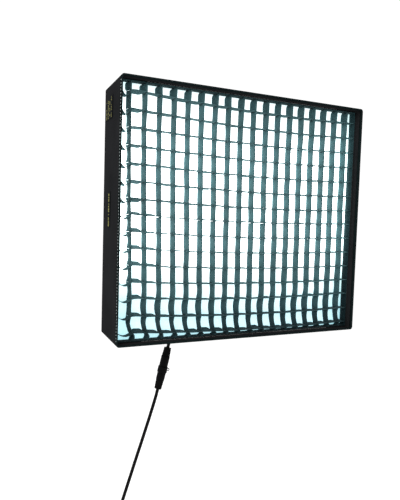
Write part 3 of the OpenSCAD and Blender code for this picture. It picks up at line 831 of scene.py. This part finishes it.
def make_walls():
    """Four cloth panels between the rim and the back, each from the middle of one corner to the next."""
    arc, side = 8, 72
    path = outline(RIM_LOW, RIM_HIGH, CORNER_R, arc, side)
    run = arc + side
    depth_steps = 26
    for order, name in enumerate(("top", "left", "bottom", "right")):
        start = order * run + arc // 2
        stretch = [path[(start + k) % len(path)] for k in range(run + 1)]
        columns = len(stretch)
        points = []
        for r in range(depth_steps + 1):
            v = r / depth_steps
            y = RIM_HIGH.y + (BACK_Y - RIM_HIGH.y) * v
            for k, (place, out) in enumerate(stretch):
                u = k / (columns - 1)
                calm = min(1.0, 14 * u * (1 - u)) * min(1.0, 6 * v * (1 - v))
                at = Vector((place.x * 5, y * 9 + order, place.z * 5))
                swell = noise.noise(at) * 0.9 + noise.noise(at * 3.1) * 0.4
                points.append(place + out * (calm * (swell - 1.2) * MM) + Vector((0, y, 0)))
        obj = piece(f"wall_{name}", points, quads(columns, depth_steps + 1), BLACK_CLOTH, "head",
                    "black_cloth", WALL_T, 1.0)
        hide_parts(f"side_panel_{name}")


def make_rim():
    depth = RIM_HIGH.y - RIM_LOW.y
    width = 4.5 * MM
    section = []
    for k in range(7):
        a = math.pi * k / 6
        section.append((width / 2 * (1 - math.cos(a)), 1.8 * MM * (1 - math.sin(a))))
    section += [(width, depth * 0.6), (width - 0.6 * MM, depth), (width / 2, depth - 0.8 * MM), (0, depth)]
    obj = ring_of_cloth("rim_sleeve", RIM_LOW, RIM_HIGH, CORNER_R, section,
                        RIM_CLOTH, "head", "black_cloth", 0.5 * MM, 8.0)
    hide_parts("rim_binding")


def thread(centre, way, lift, length, radius):
    """One short raised thread, flat against its cloth and thin at both ends."""
    across = way.cross(lift).normalized()
    rings = [(-0.5, 0.15), (-0.3, 0.9), (0.3, 0.9), (0.5, 0.15)]
    sides = 6
    points = []
    for along, scale in rings:
        for side in range(sides):
            angle = 2 * math.pi * side / sides
            points.append(centre + way * along * length
                          + scale * radius * (math.cos(angle) * across + 0.4 * math.sin(angle) * lift))
    return points, loop_quads(sides, len(rings)) + end_faces(sides, len(rings))


def rim_seam(side, out, spacing, length, radius, material, finish):
    """A row of short threads along one side of the front rim. out is the way that side looks."""
    y = RIM_LOW.y + 3 * MM
    corner = 12 * MM
    if out.x:
        x = RIM_LOW.x - 0.1 * MM if out.x < 0 else RIM_HIGH.x + 0.1 * MM
        start, end = Vector((x, y, RIM_HIGH.z - corner)), Vector((x, y, RIM_LOW.z + corner))
    else:
        z = RIM_LOW.z if out.z < 0 else RIM_HIGH.z
        start, end = Vector((RIM_LOW.x + corner, y, z)), Vector((RIM_HIGH.x - corner, y, z))
    way = (end - start).normalized()
    count = int((end - start).length / spacing)
    parts = [thread(start.lerp(end, (k + 0.5) / count), way, out, length, radius) for k in range(count)]
    piece(f"rim_seam_{side}", *join_parts(parts), material, "head", finish)


def woven_bars(name, y, z, columns, radius, seed):
    """Plain broken bars of yellow thread on a label of the left wall, between two places in Y and Z."""
    rng = random.Random(seed)
    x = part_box("side_labels")[0].x - 0.1 * MM
    left, up = Vector((-1, 0, 0)), Vector((0, 0, 1))
    thread_share, gap = 0.64, 0.8 * MM
    parts = []
    for c in range(columns):
        column_y = y[0] + (y[1] - y[0]) * (c + 0.5) / columns
        place = z[0]
        while place < z[1]:
            run = rng.uniform(2.0, 6.0) * MM
            if rng.random() < thread_share:
                parts.append(thread(Vector((x, column_y, place)), up, left, run, radius))
            place += run + gap
    points, faces = join_parts(parts)
    piece(name, points, faces, YELLOW_THREAD, "head", "woven_label")


def make_side_details():
    """Plain bars woven on the two labels, and thread along the rim: pale on the left, else black."""
    woven_bars("label_bars_upper", y=(-157 * MM, -93 * MM), z=(285 * MM, 335 * MM),
               columns=4, radius=1.6 * MM, seed=4)
    woven_bars("label_bars_lower", y=(-146 * MM, -136 * MM), z=(12 * MM, 96 * MM),
               columns=1, radius=3.8 * MM, seed=7)
    rim_seam("left", Vector((-1, 0, 0)), 7.6 * MM, 3.4 * MM, 0.9 * MM, PALE_THREAD, "white_webbing")
    for side, out in (("right", (1, 0, 0)), ("top", (0, 0, 1)), ("bottom", (0, 0, -1))):
        rim_seam(side, Vector(out), 6.5 * MM, 3.0 * MM, 0.5 * MM, BLACK_THREAD, "black_webbing")


def make_back():
    """The back cloth, stretched from its round opening to the four walls."""
    centre = Vector((0, 0, (BACK_LOW.z + BACK_HIGH.z) / 2))
    opening = 58 * MM
    seam = 1 * MM
    half_x = (BACK_HIGH.x - BACK_LOW.x) / 2 + seam
    half_z = (BACK_HIGH.z - BACK_LOW.z) / 2 + seam
    around, rings = 144, 30
    points = []
    for k in range(rings):
        t = (k / (rings - 1)) ** 1.15
        for i in range(around):
            a = 2 * math.pi * i / around
            way = Vector((math.cos(a), 0, math.sin(a)))
            reach = min(half_x / max(abs(way.x), 1e-6), half_z / max(abs(way.z), 1e-6))
            place = centre + way * (opening + (reach - opening) * t)
            calm = min(1.0, 8 * t * (1 - t))
            tension = 0.8 * math.cos(4 * a + math.pi) * (1 - t)
            swell = noise.noise(place * 5.5) * 1.6 + noise.noise(place * 17) * 0.5 + tension
            points.append(place + Vector((0, BACK_Y + calm * (swell - 0.8) * MM, 0)))
    obj = piece("back_cloth", points, loop_quads(around, rings), BLACK_CLOTH, "head", "black_cloth",
                2.4 * MM, 1.0)
    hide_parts("back_panel")


make_rim()
make_walls()
make_back()
make_side_details()


# ---- stage ------------------------------------------------------------------


def area_light(name, place, size, power):
    """A square light that looks at the middle of the box."""
    data = bpy.data.lights.new(name, "AREA")
    data.shape = "SQUARE"
    data.size = size
    data.energy = power
    light = bpy.data.objects.new(name, data)
    bpy.context.collection.objects.link(light)
    light.location = place
    light.rotation_euler = (-Vector(place)).to_track_quat("-Z", "Y").to_euler()


def make_stage():
    bpy.context.scene.view_settings.view_transform = "Standard"
    world = bpy.data.worlds.new("studio")
    bpy.context.scene.world = world
    world.use_nodes = True
    world.node_tree.nodes["Background"].inputs["Color"].default_value = (1, 1, 1, 1)
    world.node_tree.nodes["Background"].inputs["Strength"].default_value = 1.06
    half, height = 30.0, cad_low.z - 0.5
    corners = [(x * half, y * half, height) for x, y in ((-1, -1), (1, -1), (1, 1), (-1, 1))]
    pale = stage_material("pale_floor", (0.97, 0.97, 0.97))
    piece("floor", corners, [(0, 1, 2, 3)], pale, None, "white_webbing")
    area_light("key", (-2.4, -2.2, 1.6), 1.6, 40)
    area_light("fill", (2.5, -1.5, 0.8), 1.5, 15)
    area_light("back", (0.5, 2.6, 1.6), 1.6, 40)


make_stage()
